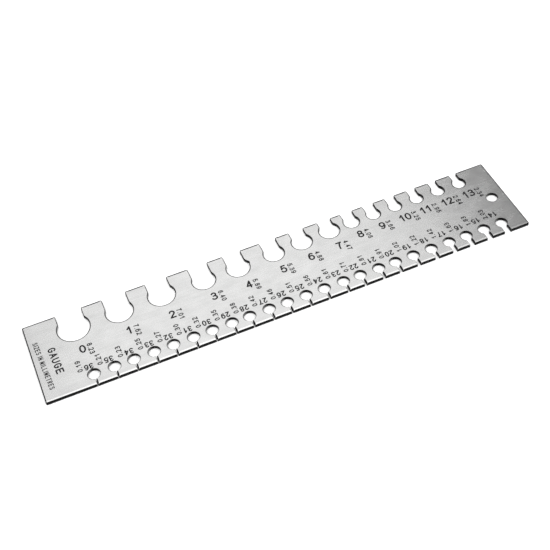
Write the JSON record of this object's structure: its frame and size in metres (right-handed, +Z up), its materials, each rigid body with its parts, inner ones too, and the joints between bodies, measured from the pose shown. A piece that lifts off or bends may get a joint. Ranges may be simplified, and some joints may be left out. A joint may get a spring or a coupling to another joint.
{
  "type": "wire gauge plate",
  "caption": "Flat steel plate with graded notches and slots along its two long edges, each the size of a standard wire, and a hole at one end to hang it by.",
  "frame": {"origin": "middle of the plate's length and width, on its lower face", "axes": "+X along the length towards the hanging hole, +Y towards the coarse notches, +Z up out of the marked face"},
  "size_m": [0.16, 0.0308, 0.001],
  "materials": {
    "plate_steel": "fine lengthwise brushed stainless steel with dark etched figures"
  },
  "bodies": {
    "root": {"gauge_plate": "plate_steel"}
  },
  "joints": []
}
